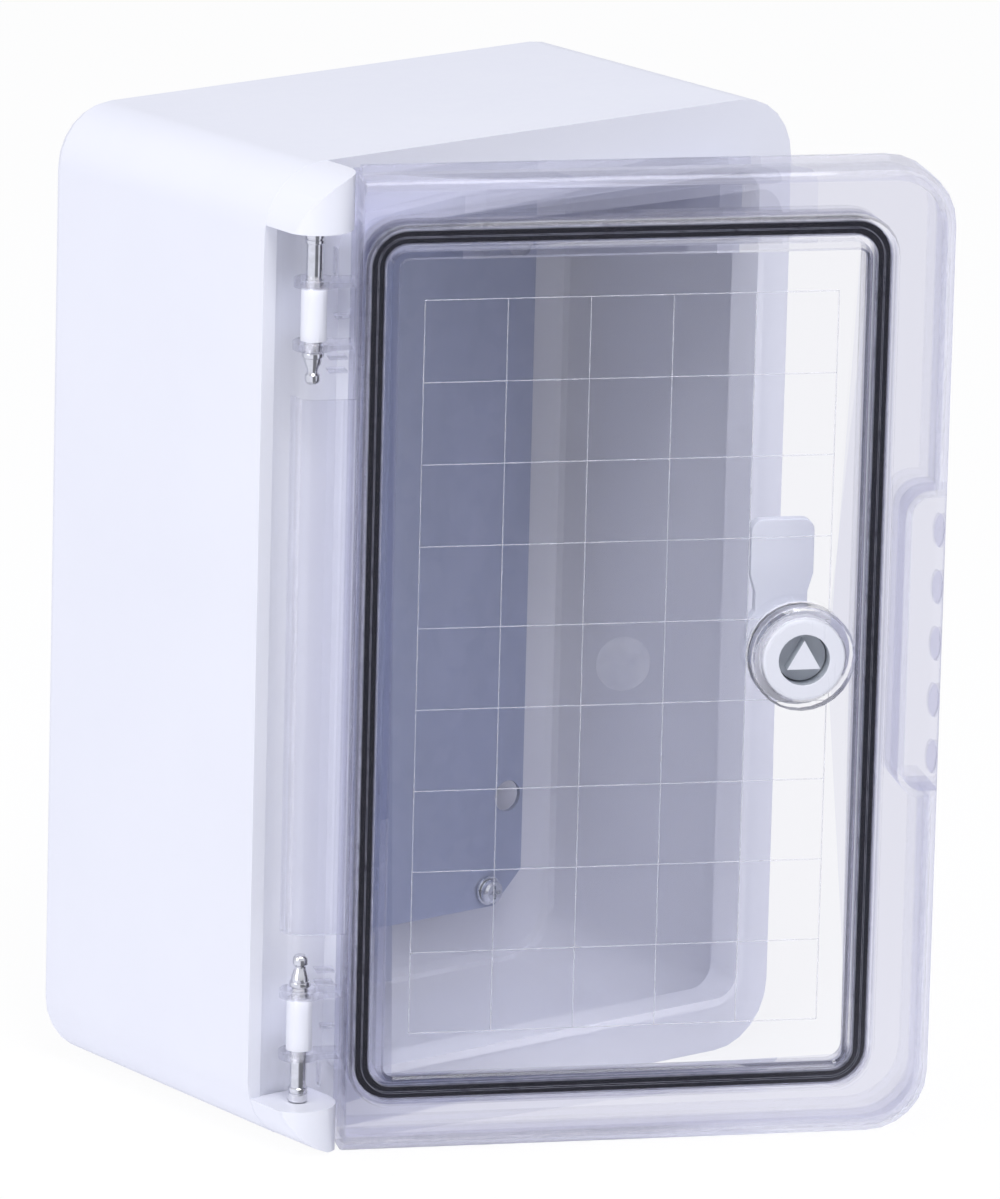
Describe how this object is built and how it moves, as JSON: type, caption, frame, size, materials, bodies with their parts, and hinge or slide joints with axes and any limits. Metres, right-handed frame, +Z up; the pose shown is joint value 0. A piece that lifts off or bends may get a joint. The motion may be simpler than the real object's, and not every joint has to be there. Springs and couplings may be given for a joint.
{
  "type": "hinged wall enclosure with clear door",
  "caption": "Wall-mount plastic enclosure with hinged clear door, quarter-turn cam lock and steel mounting plate for DC combiner gear.",
  "frame": {"origin": "centre of the flat back face, which rests on the wall", "axes": "+Z up, +X to the right seen from the front, +Y towards the wall; the opening faces -Y"},
  "size_m": [0.2, 0.2092, 0.3],
  "materials": {
    "body_white": "moulded, soft satin gloss",
    "door_clear": "clear polycarbonate, polished",
    "seal_rubber": "matt black elastomer",
    "ring_rubber": "matt black elastomer",
    "lock_white": "moulded, fine gloss",
    "cam_white": "moulded, satin",
    "plug_white": "moulded, satin",
    "pin_nickel": "bright nickel on steel",
    "screw_zinc": "bright zinc on steel",
    "plate_zinc": "zinc-coated sheet, faint rolling grain",
    "insert_brass": "turned brass"
  },
  "bodies": {
    "enclosure": {"body_shell": "body_white", "hinge_pin_upper": "pin_nickel", "hinge_pin_lower": "pin_nickel", "mounting_plate": "plate_zinc", "plate_screw_1": "screw_zinc", "plate_screw_2": "screw_zinc", "plate_screw_3": "screw_zinc", "plate_screw_4": "screw_zinc", "plate_washer_1": "screw_zinc", "plate_washer_2": "screw_zinc", "plate_washer_3": "screw_zinc", "plate_washer_4": "screw_zinc", "threaded_insert_1": "insert_brass", "threaded_insert_2": "insert_brass", "threaded_insert_3": "insert_brass", "threaded_insert_4": "insert_brass", "wall_plug_1": "plug_white", "wall_plug_2": "plug_white", "wall_plug_3": "plug_white", "wall_plug_4": "plug_white"},
    "door": {"door_panel": "door_clear", "door_gasket": "seal_rubber", "lock_body": "lock_white", "lock_seal_ring": "ring_rubber", "lock_nut": "lock_white"},
    "lock": {"lock_rotor": "lock_white", "rotor_o_ring": "ring_rubber", "lock_cam": "cam_white", "cam_washer": "screw_zinc", "cam_screw": "screw_zinc"}
  },
  "joints": [
    {"name": "door_hinge", "type": "hinge", "parent": "enclosure", "child": "door", "pos_m": [-0.0885, -0.1167, 0], "axis": [0, 0, -1], "range_deg": [-26.3, 143.7]},
    {"name": "lock_turn", "type": "hinge", "parent": "door", "child": "lock", "pos_m": [0.0381, -0.19232, 0.002], "axis": [0.4431, 0.8965, 0], "range_deg": [0, 90]}
  ]
}
